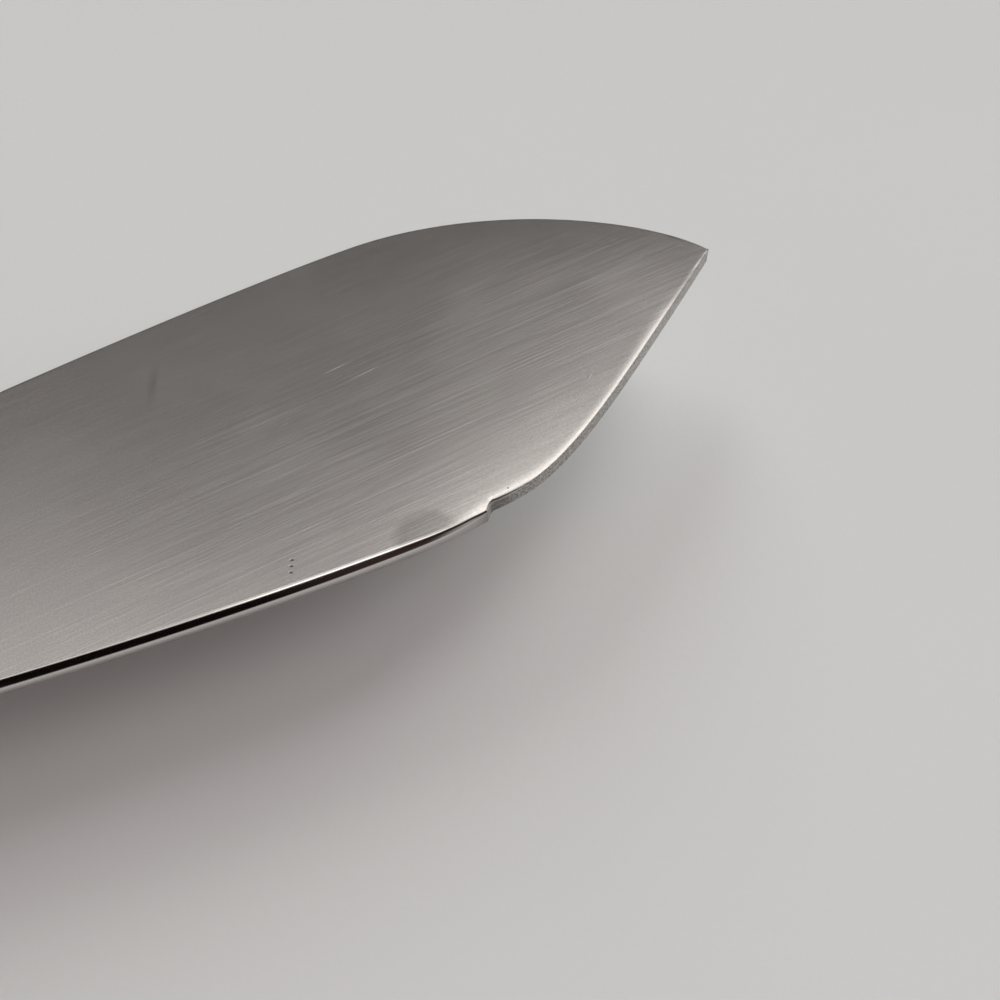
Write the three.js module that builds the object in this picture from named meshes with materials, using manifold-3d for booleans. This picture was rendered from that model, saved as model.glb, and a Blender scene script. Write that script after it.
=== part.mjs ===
// A butter spreader: a leaf-shaped steel blade whose full tang runs to the end of the handle, between a pair
// of steel bolsters held by two pins and a pair of wooden scales held by three two-part rivets.
// Millimetres, +Z up. It lies on its right-hand scale with the tip towards +X and the spine towards -Y.
// The origin is the middle of the surface that it lies on.
import * as THREE from "three";
import { mergeVertices } from "three/addons/utils/BufferGeometryUtils.js";
import Module from "manifold-3d";

const wasm = await Module();
wasm.setup();

// Driving dimensions of the blank, the one piece of sheet that makes blade and tang.
// A pull is the length of a curve's handle: a longer pull keeps the curve longer on its tangent.
const BLANK_THICKNESS = 1.5;
const BLADE_LENGTH = 72; // bolster nose to tip
const BLADE_WIDTH = 22.84; // between the spine's crest and the spreading edge's crest
const NECK_WIDTH = 12; // blade and handle where they meet at the bolster nose
const SHOULDER_ANGLE = 23; // degrees, at which the blade leaves the bolsters
const SHOULDER_PULL = 7;
const SPINE_CREST_BACK = 26.1; // from the tip back to the spine's widest point
const SPINE_CREST_PULL = 11.4;
const EDGE_CREST_BACK = 21.6; // from the tip back to the spreading edge's widest point
const EDGE_CREST_PULL = 11.1; // on the handle side of the crest
const EDGE_NOSE_PULL = 9.8; // on the tip side of the crest
const TIP_RISE = 1.16; // tip above the centre line, towards the spreading edge
const TIP_ANGLE = 59; // degrees, at which the spreading edge comes down to the tip
const TIP_PULL = 4.7;
const TIP_BLUNT = 0.2; // width of the blunted point

// The notch is a small step in the spine, where the rounded spine ends and the ground clip begins.
const NOTCH_AHEAD = 4.2; // from the spine's crest forward to the notch
const NOTCH_FALL = 0.42; // by which the spine has come in from its crest there
const NOTCH_DEPTH = 0.54;
const NOTCH_RUN = 0.55;
const CLIP_START_PULL = 4.8;
const CLIP_TIP_PULL = 14.5;
const CLIP_ANGLE = 34.8; // degrees, at which the clip runs up to the tip

// Edges of the blade: the spine is rounded, and its round thins out before the notch. The spreading edge is
// eased, and the clip rolls off gently.
const SPINE_ROUND_WIDTH = 0.65;
const SPINE_ROUND_DEPTH = 0.7;
const SPINE_ROUND_LEFT = 0.1; // share of the round that is left at the notch
const SPINE_THINNING = 10.5; // length before the notch over which the round thins out
const THINNING_POWER = 1.4; // the higher, the later the round thins out
const EDGE_ROUND = 0.2;
const CLIP_ROLL_WIDTH = 1.2;
const CLIP_ROLL_DEPTH = 0.12;
const EASE_START = 0.6; // from the bolster nose to where the edges are fully rounded
const EASE_LIMIT = 0.45; // most of the local width that one eased edge takes
const EDGE_LIMIT = 0.9; // most of the half thickness that an eased edge takes

// Handle outline, which tang, bolsters and scales share
const HANDLE_LENGTH = 94; // bolster nose to butt
const HANDLE_WIDTH = 16.4; // across the swell
const SWELL_PULL = 32;
const WAIST_PULL = 30;
const BUTT_RADIUS = 6; // of the two corners at the butt
const CORNER_LIMIT = 0.9; // most of the half width that a corner takes

// Slabs on each side of the tang: a bolster in front and a scale behind it
const SLAB_THICKNESS = 4.25;
const SLAB_WALL = 1.3; // upright side below the rounded shoulder
const SLAB_ROUND = 3.6; // width of the rounded shoulder
const ROUND_LIMIT = 0.7; // most of the half width that the shoulder takes
const BUTT_HEIGHT = 1.9; // of a scale at the butt
const BUTT_FALL = 4; // length over which a scale comes down to that height
const BOLSTER_LENGTH = 15;
const NOSE_HEIGHT = 0.9; // of a bolster where it meets the blade
const NOSE_LENGTH = 6.5; // over which it rises to the full thickness
const JOINT_GAP = 0.05; // between bolster and scale

// Fasteners
const FIT = 0.1; // radial clearance round a pin, a rivet and a rivet's head
const SUNK = 0.05; // by which heads and pin ends lie below the face
const CHAMFER = 0.15;
const PIN_DIAMETER = 2.2;
const HEAD_DIAMETER = 6;
const HEAD_THICKNESS = 1.1;
const TUBE_DIAMETER = 4;
const POST_DIAMETER = 2.6;
const TUBE_SHORT = 0.4; // by which the tube stops short of the other half's head
const POST_SHORT = 0.4; // by which the post stops short of the end of its bore
const FIRST_RIVET_BACK = 12; // from the joint between bolster and scale
const LAST_RIVET_AHEAD = 15; // from the butt
const RIVET_PLACES = ["front", "middle", "rear"];
const PIN_PLACES = ["front", "rear"];

// Fineness of the curved surfaces
const ROUND_STEPS = 4; // in a quarter turn of a rounded edge
const CORNER_STEPS = 6; // round a corner of the butt
const HANDLE_STEPS = 16; // from the butt to the bolster nose
const BLADE_STEPS = 16; // from the bolster nose to the spine's crest
const CREST_STEPS = 3; // from the crest to the notch
const CLIP_STEPS = 22; // from the notch to the tip
const NOSE_STEPS = 7; // up a bolster's nose
const TURN_SEGMENTS = 32; // round a pin, rivet or hole
const WELD = 1e-4; // distance under which two corners are one
const CLOSEST_STATIONS = 0.02;
const HALVINGS = 50; // when a place on a curve is searched for
const DRILL_RUNOUT = 1; // by which a drill passes through what it cuts

// Sizes that follow from them
const halfBlank = BLANK_THICKNESS / 2;
const halfBlade = BLADE_WIDTH / 2;
const halfNeck = NECK_WIDTH / 2;
const halfHandle = HANDLE_WIDTH / 2;
const outerFace = halfBlank + SLAB_THICKNESS;
const scaleFront = -BOLSTER_LENGTH - JOINT_GAP;
const edgeRound = Math.min(EDGE_ROUND, halfBlank * EDGE_LIMIT);
const spineRoundDepth = Math.min(SPINE_ROUND_DEPTH, halfBlank * EDGE_LIMIT);
const clipRollDepth = Math.min(CLIP_ROLL_DEPTH, halfBlank * EDGE_LIMIT);
const buttRadius = Math.min(BUTT_RADIUS, halfHandle * CORNER_LIMIT);
const cornerEnd = -HANDLE_LENGTH + buttRadius;
const spineCrest = BLADE_LENGTH - SPINE_CREST_BACK;
const edgeCrest = BLADE_LENGTH - EDGE_CREST_BACK;
const notchStart = spineCrest + NOTCH_AHEAD;
const notchEnd = notchStart + NOTCH_RUN;

// The rivets are spaced evenly from the first to the last, and each pin has an equal share of the flat behind
// the bolsters' noses.
const firstRivet = scaleFront - FIRST_RIVET_BACK;
const lastRivet = -HANDLE_LENGTH + LAST_RIVET_AHEAD;
const rivetStations = steps(firstRivet, lastRivet, RIVET_PLACES.length - 1);
const pinShare = (BOLSTER_LENGTH - NOSE_LENGTH) / PIN_PLACES.length;
const pinStations = PIN_PLACES.map((name, index) => -NOSE_LENGTH - pinShare * (index + 1 / 2));

const point = (x, y) => new THREE.Vector2(x, y);

// A place at a distance from another one, in a direction given in degrees.
function offset(place, distance, degrees) {
  const turn = THREE.MathUtils.degToRad(degrees);
  return point(place.x + distance * Math.cos(turn), place.y + distance * Math.sin(turn));
}

// Outline of the handle on one side, from the butt's rounded corner over the swell to the neck.
function handleSide(sign) {
  const cornerTurn = Math.PI - (sign * Math.PI) / 2;
  const cornerMiddle = sign * (halfHandle - buttRadius);
  return [
    new THREE.EllipseCurve(
      cornerEnd, cornerMiddle, buttRadius, buttRadius, Math.PI, cornerTurn, sign > 0,
    ),
    new THREE.CubicBezierCurve(
      point(cornerEnd, sign * halfHandle),
      point(cornerEnd + SWELL_PULL, sign * halfHandle),
      point(-WAIST_PULL, sign * halfNeck),
      point(0, sign * halfNeck),
    ),
  ];
}

// Outline of the spine: shoulder and crest, the step of the notch, then the clip up to the tip.
function spineSide() {
  const neck = point(0, -halfNeck);
  const crest = point(spineCrest, -halfBlade);
  const notchTop = point(notchStart, crest.y + NOTCH_FALL);
  const notchFloor = point(notchEnd, notchTop.y + NOTCH_DEPTH);
  const tip = point(BLADE_LENGTH, TIP_RISE - TIP_BLUNT / 2);
  return [
    ...handleSide(-1),
    new THREE.CubicBezierCurve(
      neck, offset(neck, SHOULDER_PULL, -SHOULDER_ANGLE), offset(crest, -SPINE_CREST_PULL, 0), crest,
    ),
    new THREE.QuadraticBezierCurve(crest, offset(crest, NOTCH_AHEAD / 2, 0), notchTop),
    new THREE.LineCurve(notchTop, notchFloor),
    new THREE.CubicBezierCurve(
      notchFloor, offset(notchFloor, CLIP_START_PULL, 0), offset(tip, -CLIP_TIP_PULL, CLIP_ANGLE), tip,
    ),
  ];
}

// Outline of the spreading edge: shoulder, crest and the full curve of the nose down to the tip.
function edgeSide() {
  const neck = point(0, halfNeck);
  const crest = point(edgeCrest, halfBlade);
  const tip = point(BLADE_LENGTH, TIP_RISE + TIP_BLUNT / 2);
  return [
    ...handleSide(1),
    new THREE.CubicBezierCurve(
      neck, offset(neck, SHOULDER_PULL, SHOULDER_ANGLE), offset(crest, -EDGE_CREST_PULL, 0), crest,
    ),
    new THREE.CubicBezierCurve(
      crest, offset(crest, EDGE_NOSE_PULL, 0), offset(tip, -TIP_PULL, -TIP_ANGLE), tip,
    ),
  ];
}

const spine = spineSide();
const edge = edgeSide();

// How far across an outline lies at a station x along the spreader.
function acrossAt(outline, x) {
  const curve = outline.find((piece) => x <= piece.getPoint(1).x) ?? outline.at(-1);
  let before = 0;
  let after = 1;
  for (let halving = 0; halving < HALVINGS; halving += 1) {
    const middle = (before + after) / 2;
    if (curve.getPoint(middle).x < x) {
      before = middle;
    } else {
      after = middle;
    }
  }
  return curve.getPoint(after).y;
}

// An inset square to a slanting outline is longer when it is measured straight across.
function stretchAt(outline, x) {
  const reach = CLOSEST_STATIONS / 2;
  const slope = (acrossAt(outline, x) - acrossAt(outline, x - reach)) / reach;
  return Math.hypot(1, slope);
}

// Stations from one x to another, both included. A fine end gathers them towards the second x.
function steps(from, to, count, fineEnd = false) {
  return Array.from({ length: count + 1 }, (unused, index) => {
    const share = index / count;
    return from + (to - from) * (fineEnd ? Math.sin((share * Math.PI) / 2) : share);
  });
}

// Stations in rising order, without those that fall together.
function inOrder(stations) {
  const sorted = stations.toSorted((first, second) => first - second);
  return sorted.filter((x, index) => index === 0 || x - sorted[index - 1] > CLOSEST_STATIONS);
}

// Corners of a quarter turn from the upright side, at 0, to the flat face, at 1.
const quarterTurn = steps(0, Math.PI / 2, ROUND_STEPS).map((turn) => ({
  inset: 1 - Math.cos(turn),
  rise: Math.sin(turn),
}));

// A closed solid through sections at rising stations. Each section is a ring of as many corners, counted
// counterclockwise as seen from +X, and the first and last are closed by a fan round their middle.
function loft(sections) {
  const corners = sections.flat();
  const ringSize = sections[0].length;
  const triangles = [];
  const lastStart = (sections.length - 1) * ringSize;
  for (let start = 0; start < lastStart; start += ringSize) {
    for (let index = 0; index < ringSize; index += 1) {
      const here = start + index;
      const next = start + ((index + 1) % ringSize);
      triangles.push(here, next, next + ringSize);
      triangles.push(here, next + ringSize, here + ringSize);
    }
  }
  for (const [ring, start, first] of [[sections[0], 0, true], [sections.at(-1), lastStart, false]]) {
    const middle = ring.reduce((sum, corner) => sum.add(corner), new THREE.Vector3()).divideScalar(ringSize);
    corners.push(middle);
    for (let index = 0; index < ringSize; index += 1) {
      const pair = [start + index, start + ((index + 1) % ringSize)];
      triangles.push(corners.length - 1, ...(first ? pair.reverse() : pair));
    }
  }
  const geometry = new THREE.BufferGeometry().setFromPoints(corners);
  geometry.setIndex(triangles);
  return geometry;
}

// A closed mesh as a solid that can be cut. Triangles that have shrunk to a line at an axis are dropped.
function solidOf(geometry) {
  const bare = new THREE.BufferGeometry();
  bare.setAttribute("position", geometry.getAttribute("position"));
  bare.setIndex(geometry.getIndex());
  const welded = mergeVertices(bare, WELD);
  const index = welded.getIndex().array;
  const triangles = [];
  for (let start = 0; start < index.length; start += 3) {
    const [a, b, c] = index.subarray(start, start + 3);
    if (a !== b && b !== c && c !== a) {
      triangles.push(a, b, c);
    }
  }
  const vertProperties = new Float32Array(welded.getAttribute("position").array);
  const triVerts = new Uint32Array(triangles);
  return new wasm.Manifold(new wasm.Mesh({ numProp: 3, vertProperties, triVerts }));
}

function geometryOf(solid) {
  const { vertProperties, triVerts } = solid.getMesh();
  const geometry = new THREE.BufferGeometry();
  geometry.setAttribute("position", new THREE.BufferAttribute(vertProperties, 3));
  geometry.setIndex(new THREE.BufferAttribute(triVerts, 1));
  geometry.computeVertexNormals();
  return geometry;
}

// A solid turned about an upright axis from a profile of [radius, height] corners, listed upwards outside.
function turned(profile) {
  const corners = profile.map(([radius, height]) => point(radius, height));
  return solidOf(new THREE.LatheGeometry(corners, TURN_SEGMENTS).rotateX(Math.PI / 2));
}

// A round hole straight down through a solid, from one height to another.
function drilled(solid, x, diameter, bottom, top) {
  const radius = diameter / 2 + FIT;
  const drill = new THREE.CylinderGeometry(radius, radius, top - bottom, TURN_SEGMENTS);
  drill.rotateX(Math.PI / 2).translate(x, 0, (bottom + top) / 2);
  return solid.subtract(solidOf(drill));
}

// How wide and how deep the edge of the blank is eased at a station, on the spine or the spreading edge.
function easeAt(x, isSpine) {
  if (x < EASE_START) {
    return { width: 0, depth: edgeRound };
  }
  if (isSpine && x > notchStart) {
    return { width: CLIP_ROLL_WIDTH, depth: clipRollDepth };
  }
  if (isSpine) {
    const run = Math.max(0, 1 - (notchStart - x) / SPINE_THINNING);
    const share = 1 - (1 - SPINE_ROUND_LEFT) * run ** THINNING_POWER;
    return { width: SPINE_ROUND_WIDTH * share, depth: spineRoundDepth * share };
  }
  return { width: edgeRound, depth: edgeRound };
}

// Cross-section of the blank: flat faces between two eased edges.
function blankSection(x) {
  const spineY = acrossAt(spine, x);
  const edgeY = acrossAt(edge, x);
  const room = (edgeY - spineY) * EASE_LIMIT;
  const easedEdge = (outline, y, inward) => {
    const { width, depth } = easeAt(x, outline === spine);
    const reach = inward * Math.min(width * stretchAt(outline, x), room);
    const foot = halfBlank - depth;
    return quarterTurn.map(({ inset, rise }) => [y + inset * reach, foot + rise * depth]);
  };
  const spineTop = easedEdge(spine, spineY, 1);
  const edgeTop = easedEdge(edge, edgeY, -1);
  const under = (corners) => corners.map(([y, z]) => [y, -z]);
  const ring = [
    ...under(spineTop),
    ...under(edgeTop).reverse(),
    ...edgeTop,
    ...spineTop.toReversed(),
  ];
  return ring.map(([y, z]) => new THREE.Vector3(x, y, z));
}

// Cross-section of a bolster or scale on the tang: upright sides, rounded shoulders and a flat outer face.
function slabSection(x, height) {
  const half = acrossAt(edge, x);
  const share = height / SLAB_THICKNESS;
  const wall = SLAB_WALL * share;
  const round = Math.min(SLAB_ROUND * share, half * ROUND_LIMIT);
  const shoulder = quarterTurn.map(({ inset, rise }) => [
    half - inset * round,
    wall + rise * (height - wall),
  ]);
  const ring = [
    [-half, 0],
    [half, 0],
    ...shoulder,
    ...shoulder.toReversed().map(([y, z]) => [-y, z]),
  ];
  return ring.map(([y, z]) => new THREE.Vector3(x, y, z));
}

// Height of a bolster: it rises from its nose in a quarter wave to the full thickness.
function bolsterHeight(x) {
  const share = Math.min(-x / NOSE_LENGTH, 1);
  return NOSE_HEIGHT + (SLAB_THICKNESS - NOSE_HEIGHT) * Math.sin((share * Math.PI) / 2);
}

// Height of a scale: the full thickness, falling in a quarter ellipse to the butt.
function scaleHeight(x) {
  const share = Math.max(0, 1 - (x + HANDLE_LENGTH) / BUTT_FALL);
  return BUTT_HEIGHT + (SLAB_THICKNESS - BUTT_HEIGHT) * Math.sqrt(1 - share * share);
}

const cornerStations = steps(cornerEnd, -HANDLE_LENGTH, CORNER_STEPS, true);

function bladeSolid() {
  const stations = inOrder([
    ...cornerStations,
    ...steps(cornerEnd, 0, HANDLE_STEPS),
    ...steps(EASE_START, spineCrest, BLADE_STEPS),
    ...steps(spineCrest, notchStart, CREST_STEPS),
    edgeCrest,
    ...steps(notchEnd, BLADE_LENGTH, CLIP_STEPS, true),
  ]);
  let solid = solidOf(loft(stations.map(blankSection)));
  for (const x of rivetStations) {
    solid = drilled(solid, x, TUBE_DIAMETER, -BLANK_THICKNESS, BLANK_THICKNESS);
  }
  for (const x of pinStations) {
    solid = drilled(solid, x, PIN_DIAMETER, -BLANK_THICKNESS, BLANK_THICKNESS);
  }
  return solid;
}

function bolsterSolid() {
  const stations = inOrder([-BOLSTER_LENGTH, ...steps(-NOSE_LENGTH, 0, NOSE_STEPS)]);
  let solid = solidOf(loft(stations.map((x) => slabSection(x, bolsterHeight(x)))));
  for (const x of pinStations) {
    solid = drilled(solid, x, PIN_DIAMETER, -DRILL_RUNOUT, SLAB_THICKNESS + DRILL_RUNOUT);
  }
  return solid;
}

// The rivet heads sit in counterbores in the outer face.
function scaleSolid() {
  const stations = inOrder([...cornerStations, ...steps(cornerEnd, scaleFront, HANDLE_STEPS)]);
  const headSeat = SLAB_THICKNESS - SUNK - HEAD_THICKNESS;
  let solid = solidOf(loft(stations.map((x) => slabSection(x, scaleHeight(x)))));
  for (const x of rivetStations) {
    solid = drilled(solid, x, TUBE_DIAMETER, -DRILL_RUNOUT, SLAB_THICKNESS + DRILL_RUNOUT);
    solid = drilled(solid, x, HEAD_DIAMETER, headSeat, SLAB_THICKNESS + DRILL_RUNOUT);
  }
  return solid;
}

function pinSolid() {
  const radius = PIN_DIAMETER / 2;
  const end = outerFace - SUNK;
  return turned([[0, -end], [radius, -end], [radius, end], [0, end]]);
}

// Rivet heads: the outer face and the face on its seat, measured from the middle of the blank.
const headOuter = outerFace - SUNK;
const headInner = headOuter - HEAD_THICKNESS;
const boreEnd = headInner;
const headRadius = HEAD_DIAMETER / 2;
const tubeRadius = TUBE_DIAMETER / 2;
const postRadius = POST_DIAMETER / 2;

// The half of a rivet with the solid post, its head at the bottom.
function rivetMaleSolid() {
  const postEnd = boreEnd - POST_SHORT;
  return turned([
    [0, -headOuter],
    [headRadius - CHAMFER, -headOuter],
    [headRadius, -headOuter + CHAMFER],
    [headRadius, -headInner],
    [postRadius, -headInner],
    [postRadius, postEnd - CHAMFER],
    [postRadius - CHAMFER, postEnd],
    [0, postEnd],
  ]);
}

// The half of a rivet with the tube that the post is pressed into, its head at the top.
function rivetFemaleSolid() {
  const boreRadius = postRadius + FIT;
  const tubeEnd = -headInner + TUBE_SHORT;
  return turned([
    [0, boreEnd],
    [boreRadius, boreEnd],
    [boreRadius, tubeEnd],
    [tubeRadius, tubeEnd],
    [tubeRadius, headInner],
    [headRadius, headInner],
    [headRadius, headOuter - CHAMFER],
    [headRadius - CHAMFER, headOuter],
    [0, headOuter],
  ]);
}

const brushedSteel = () => new THREE.MeshStandardMaterial({ color: 0x8f8b86, roughness: 0.38, metalness: 1 });
const polishedSteel = () => new THREE.MeshStandardMaterial({ color: 0xb9b6b1, roughness: 0.2, metalness: 1 });
const brass = () => new THREE.MeshStandardMaterial({ color: 0xb08d4f, roughness: 0.3, metalness: 1 });
const rosewood = () => new THREE.MeshStandardMaterial({ color: 0x4d2a1b, roughness: 0.5, metalness: 0 });

const spreader = new THREE.Group();

function addPiece(parent, name, solid, material) {
  const mesh = new THREE.Mesh(geometryOf(solid), material);
  mesh.name = name;
  parent.add(mesh);
  return mesh;
}

// The left and right slabs are alike: one lies on the tang, and the other, turned over, under it.
function addPair(name, solid, material) {
  addPiece(spreader, `${name}_left`, solid, material()).position.z = halfBlank;
  const right = addPiece(spreader, `${name}_right`, solid, material());
  right.position.z = -halfBlank;
  right.rotation.x = Math.PI;
}

addPiece(spreader, "blade", bladeSolid(), brushedSteel());
addPair("bolster", bolsterSolid(), polishedSteel);
addPair("handle_scale", scaleSolid(), rosewood);

pinStations.forEach((x, index) => {
  const pin = addPiece(spreader, `bolster_pin_${PIN_PLACES[index]}`, pinSolid(), polishedSteel());
  pin.position.x = x;
});

rivetStations.forEach((x, index) => {
  const rivet = new THREE.Group();
  rivet.position.x = x;
  addPiece(rivet, `rivet_${RIVET_PLACES[index]}_male`, rivetMaleSolid(), brass());
  addPiece(rivet, `rivet_${RIVET_PLACES[index]}_female`, rivetFemaleSolid(), brass());
  spreader.add(rivet);
});

// Half way between tip and butt, on the surface under the right-hand scale.
spreader.position.set((HANDLE_LENGTH - BLADE_LENGTH) / 2, 0, outerFace);

const part = new THREE.Group();
part.add(spreader);

export default part;
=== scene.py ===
"""Looks of a butter spreader: a brushed leaf-shaped blade whose full tang lies between two steel bolsters
and two wooden scales, held by pins and brass rivets, on a pale table in soft light.

Lengths are millimetres until a surface becomes a mesh. Surfaces are worked out in the spreader's own
coordinates: x from the bolsters' nose towards the tip, y from the spine to the spreading edge, and z from
the middle of the blank.
"""
import math

import bpy
import numpy as np
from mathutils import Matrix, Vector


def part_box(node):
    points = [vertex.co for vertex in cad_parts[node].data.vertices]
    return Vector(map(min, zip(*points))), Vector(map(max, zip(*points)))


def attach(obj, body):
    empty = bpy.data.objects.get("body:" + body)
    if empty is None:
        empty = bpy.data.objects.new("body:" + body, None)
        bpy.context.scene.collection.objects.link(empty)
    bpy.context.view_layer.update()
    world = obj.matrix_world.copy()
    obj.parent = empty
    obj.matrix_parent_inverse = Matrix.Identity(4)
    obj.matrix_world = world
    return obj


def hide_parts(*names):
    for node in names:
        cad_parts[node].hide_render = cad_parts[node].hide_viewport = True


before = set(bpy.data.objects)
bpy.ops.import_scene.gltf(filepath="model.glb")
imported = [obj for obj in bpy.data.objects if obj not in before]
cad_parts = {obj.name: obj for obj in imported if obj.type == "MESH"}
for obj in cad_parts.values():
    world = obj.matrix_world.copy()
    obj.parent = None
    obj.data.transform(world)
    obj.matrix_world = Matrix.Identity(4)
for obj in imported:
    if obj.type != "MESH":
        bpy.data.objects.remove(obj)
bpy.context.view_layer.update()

MM = 0.001


def node_box(node):
    """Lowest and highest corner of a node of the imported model, in millimetres."""
    lowest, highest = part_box(node)
    return np.array(lowest) / MM, np.array(highest) / MM


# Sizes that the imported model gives
blade_low, blade_high = node_box("blade")
bolster_low, bolster_high = node_box("bolster_left")
scale_low, scale_high = node_box("handle_scale_left")
head_low, head_high = node_box("rivet_front_female")
pin_low, pin_high = node_box("bolster_pin_front")
nose_x = bolster_high[0]
middle_z = (blade_low[2] + blade_high[2]) / 2
ORIGIN = np.array([nose_x, 0.0, middle_z])
BLADE_LENGTH = blade_high[0] - nose_x
HANDLE_LENGTH = nose_x - blade_low[0]
HALF_BLADE = (blade_high[1] - blade_low[1]) / 2
HALF_HANDLE = (scale_high[1] - scale_low[1]) / 2
HALF_BLANK = (blade_high[2] - blade_low[2]) / 2
SLAB_THICKNESS = scale_high[2] - scale_low[2]
BOLSTER_LENGTH = bolster_high[0] - bolster_low[0]
SCALE_FRONT = scale_high[0] - nose_x
HEAD_RADIUS = (head_high[0] - head_low[0]) / 2
HEAD_OUTER = head_high[2] - middle_z
PIN_RADIUS = (pin_high[0] - pin_low[0]) / 2
PIN_END = pin_high[2] - middle_z

# Outline of the blade. A pull is the length of a curve's handle.
HALF_NECK = 6.0
SHOULDER_ANGLE = 23.0
SHOULDER_PULL = 7.0
SPINE_CREST_BACK = 26.1
SPINE_CREST_PULL = 11.4
EDGE_CREST_BACK = 21.6
EDGE_CREST_PULL = 11.1
EDGE_NOSE_PULL = 9.8
TIP_RISE = 1.16
TIP_ANGLE = 59.0
TIP_PULL = 4.7
TIP_BLUNT = 0.2

# The notch in the spine, and the clip in front of it
NOTCH_AHEAD = 4.2
NOTCH_FALL = 0.42
NOTCH_DEPTH = 0.54
NOTCH_RUN = 0.75
NOTCH_PULL = 0.32
NOTCH_ANGLE = 45.0
CLIP_START_PULL = 4.8
CLIP_TIP_PULL = 14.5
CLIP_ANGLE = 34.8

# Outline of the handle
SWELL_PULL = 32.0
WAIST_PULL = 30.0
BUTT_RADIUS = 6.0

# Eased edges of the blade: a width across the face and a depth down the wall. A fullness above 1 makes an
# ease meet the face at a crease.
SPINE_EASE_WIDTH = 0.92
SPINE_EASE_DEPTH = 0.74
SPINE_FULLNESS = 1.07
SPINE_EASE_LEFT = 0.28
SPINE_THINNING = 10.0
THINNING_POWER = 3.1
EDGE_EASE = 0.2
CLIP_EASE = 0.06
BURR_EASE = 0.22
BURR_RUN = 3.5
TANG_EASE = 0.02
EASE_START = 0.6
EASE_LIMIT = 0.48

# The face falls away towards the clip: a narrow roll along it, and a wider fall that begins before the
# notch. At the nose it also thins a little towards the spreading edge.
ROLL_SLOPE = 0.11
ROLL_WIDTH_AT_NOTCH = 0.7
ROLL_WIDTH = 0.34
ROLL_NARROWING = 4.5
ROLL_WIDTH_AT_NOSE = 0.6
ROLL_WIDENING_BACK = 12.0
ROLL_WIDTH_AT_START = 0.3
ROLL_START = 7.0
ROLL_FADE_BACK = 7.0
ROLL_END_BACK = 2.5
FALL_WIDTH = 5.0
FALL_DEPTH = 0.08
FALL_BEFORE = 8.0
FALL_FADE_BACK = 20.0
FALL_END_BACK = 4.0
NOSE_THINNING_WIDTH = 5.0
NOSE_THINNING_DEPTH = 0.11
NOSE_THINNING_START = 46.0
NOSE_THINNING_FULL = 60.0
LEAST_HALF_WALL = 0.08

# Reach of the blade's marks, of the strips beside its eases, and of the mean that levels the notch
RIM_SHARE = 0.97
WALL_REACH = 0.004
# Painted shade: how far along the spine's eased rim, either side of the notch's end, the darkening reaches
NOTCH_SHADE_REACH = 1.1
FACE_REACH = 1.6
LEVEL_RUN = 2.0

# Bolsters and scales. Places are shares of the half width at which the flat faces have rows.
SLAB_WALL = 1.3
SLAB_ROUND = 3.6
ROUND_LIMIT = 0.7
BUTT_HEIGHT = 1.9
BUTT_FALL = 4.0
NOSE_HEIGHT = 0.9
NOSE_LENGTH = 6.5
END_EASE = 0.12
END_RIM = 0.8
WALL_RIM = 0.5
WALL_RIM_SHARE = 0.6
INNER_PLACES = (1.0, 0.33, -0.33)
OUTER_PLACES = (0.66, 0.33)

# Rivets
FIT = 0.1
CHAMFER = 0.15
HEAD_THICKNESS = 1.1
TUBE_RADIUS = 2.0
POST_RADIUS = 1.3
TUBE_SHORT = 0.4
POST_SHORT = 0.4
HEAD_DOME = 0.03
DRILL_RUNOUT = 1.0
AXIS_RADIUS = 0.1

# Stations in each run along the blade, the bolsters and the scales, and the length of two runs
BUTT_STATIONS = 24
TANG_STATIONS = 50
REAR_STATIONS = 110
CREST_STATIONS = 90
CREST_RUN = 8.0
NOTCH_STATIONS = 30
CLIP_START_STATIONS = 70
CLIP_START_RUN = 4.0
NOSE_STATIONS = 150
BOLSTER_STATIONS = 16
BOLSTER_NOSE_STATIONS = 40
SCALE_BUTT_STATIONS = 40
SCALE_STATIONS = 110
EASE_STATIONS = 6

# Fineness
CURVE_STEPS = 1500
EASE_ROWS = 10
REACH_ROWS = 6
FACE_ROWS = 12
SHOULDER_ROWS = 14
TURN_SEGMENTS = 72
TURN_FINENESS = 0.25
DRILL_FINENESS = 100.0
DOME_PLACES = 12
SLOPE_REACH = 0.01
LEVEL_STEPS = 41
CREASE_SHARE = 0.02
SHARP_ANGLE = math.radians(35)

spine_crest = BLADE_LENGTH - SPINE_CREST_BACK
edge_crest = BLADE_LENGTH - EDGE_CREST_BACK
notch_start = spine_crest + NOTCH_AHEAD
notch_end = notch_start + NOTCH_RUN
corner_end = -HANDLE_LENGTH + BUTT_RADIUS
head_inner = HEAD_OUTER - HEAD_THICKNESS
drill_end = HALF_BLANK + SLAB_THICKNESS + DRILL_RUNOUT


# Outlines

def bezier(*corners):
    """Places on a Bezier curve: the sum of its corners, each weighted with its Bernstein share."""
    degree = len(corners) - 1
    t = np.linspace(0.0, 1.0, CURVE_STEPS)[:, None]
    shares = [math.comb(degree, k) * t**k * (1 - t) ** (degree - k) for k in range(degree + 1)]
    return np.hstack(shares) @ np.array(corners, float)


def beside(place, distance, degrees):
    """The place at a distance from another one, in a direction given in degrees."""
    turn = math.radians(degrees)
    return (place[0] + distance * math.cos(turn), place[1] + distance * math.sin(turn))


def handle_side(side):
    """Outline of the handle on one side: a quarter circle at the butt, then a cubic curve to the neck."""
    turn = np.linspace(0.0, math.pi / 2, CURVE_STEPS)
    corner_x = corner_end - BUTT_RADIUS * np.cos(turn)
    corner_y = side * (HALF_HANDLE - BUTT_RADIUS + BUTT_RADIUS * np.sin(turn))
    swell = bezier(
        (corner_end, side * HALF_HANDLE),
        (corner_end + SWELL_PULL, side * HALF_HANDLE),
        (-WAIST_PULL, side * HALF_NECK),
        (0.0, side * HALF_NECK),
    )
    return np.vstack([np.column_stack([corner_x, corner_y]), swell])


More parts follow.
